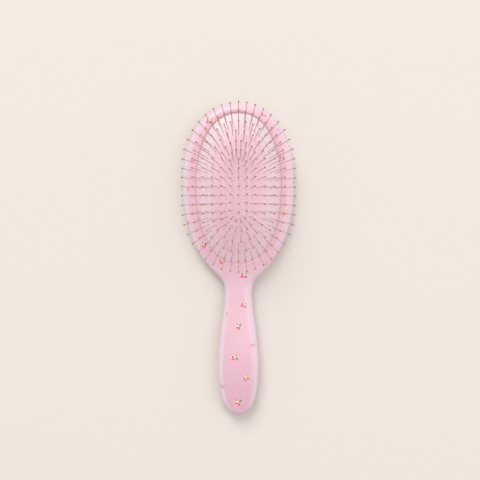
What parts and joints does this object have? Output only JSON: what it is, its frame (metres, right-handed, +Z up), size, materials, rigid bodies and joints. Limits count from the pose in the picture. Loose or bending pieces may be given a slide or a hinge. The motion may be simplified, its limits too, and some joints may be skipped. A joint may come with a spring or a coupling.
{
  "type": "cushioned vanity hairbrush",
  "caption": "Flat paddle hairbrush with an oval air cushion, fanned straight bristles with round beads, and a slim waisted handle in two moulded halves.",
  "frame": {"origin": "under the middle of the brush's length and width, on the flat plane that its back lies on", "axes": "+Z up out of the cushion, the way the bristles point; +Y along the brush towards the top of the head; +X to the right seen from above the bristles"},
  "size_m": [0.0838, 0.235, 0.0432],
  "materials": {
    "housing_front": "pearly gloss, pale pink with small printed rosebuds",
    "housing_back": "pearly gloss, pale pink with small printed rosebuds",
    "cushion": "soft matte rubber, pale pink",
    "clamp": "plain moulded plastic",
    "bristle": "satin, dusky rose",
    "bead": "glossy dipped bead, darker rose"
  },
  "bodies": {
    "housing": {"front_shell": "housing_front", "back_shell": "housing_back", "cushion_pad": "cushion", "clamp_ring": "clamp"},
    "ring_1": {"bristles_ring_1": "bristle", "tips_ring_1": "bead"},
    "ring_2": {"bristles_ring_2": "bristle", "tips_ring_2": "bead"},
    "ring_3": {"bristles_ring_3": "bristle", "tips_ring_3": "bead"},
    "ring_4": {"bristles_ring_4": "bristle", "tips_ring_4": "bead"},
    "ring_5": {"bristles_ring_5": "bristle", "tips_ring_5": "bead"},
    "ring_6": {"bristles_ring_6": "bristle", "tips_ring_6": "bead"},
    "centre_row": {"bristles_centre_row": "bristle", "tips_centre_row": "bead"}
  },
  "joints": [
    {"name": "cushion_press", "type": "slide", "parent": "housing", "child": "centre_row", "axis": [0, 0, -1], "range_m": [0, 0.004], "stiffness_N_per_m": 500, "deforming": ["cushion_pad"]},
    {"name": "ring_6_sink", "type": "slide", "parent": "housing", "child": "ring_6", "axis": [0, 0, -1], "range_m": [0, 0.00377]},
    {"name": "ring_5_sink", "type": "slide", "parent": "housing", "child": "ring_5", "axis": [0, 0, -1], "range_m": [0, 0.00349]},
    {"name": "ring_4_sink", "type": "slide", "parent": "housing", "child": "ring_4", "axis": [0, 0, -1], "range_m": [0, 0.00313]},
    {"name": "ring_3_sink", "type": "slide", "parent": "housing", "child": "ring_3", "axis": [0, 0, -1], "range_m": [0, 0.00253]},
    {"name": "ring_2_sink", "type": "slide", "parent": "housing", "child": "ring_2", "axis": [0, 0, -1], "range_m": [0, 0.00173]},
    {"name": "ring_1_sink", "type": "slide", "parent": "housing", "child": "ring_1", "axis": [0, 0, -1], "range_m": [0, 0.00073]}
  ],
  "couplings": [
    {"joint": "ring_6_sink", "follows": "cushion_press", "ratio": 0.94},
    {"joint": "ring_5_sink", "follows": "cushion_press", "ratio": 0.87},
    {"joint": "ring_4_sink", "follows": "cushion_press", "ratio": 0.78},
    {"joint": "ring_3_sink", "follows": "cushion_press", "ratio": 0.63},
    {"joint": "ring_2_sink", "follows": "cushion_press", "ratio": 0.43},
    {"joint": "ring_1_sink", "follows": "cushion_press", "ratio": 0.18}
  ]
}
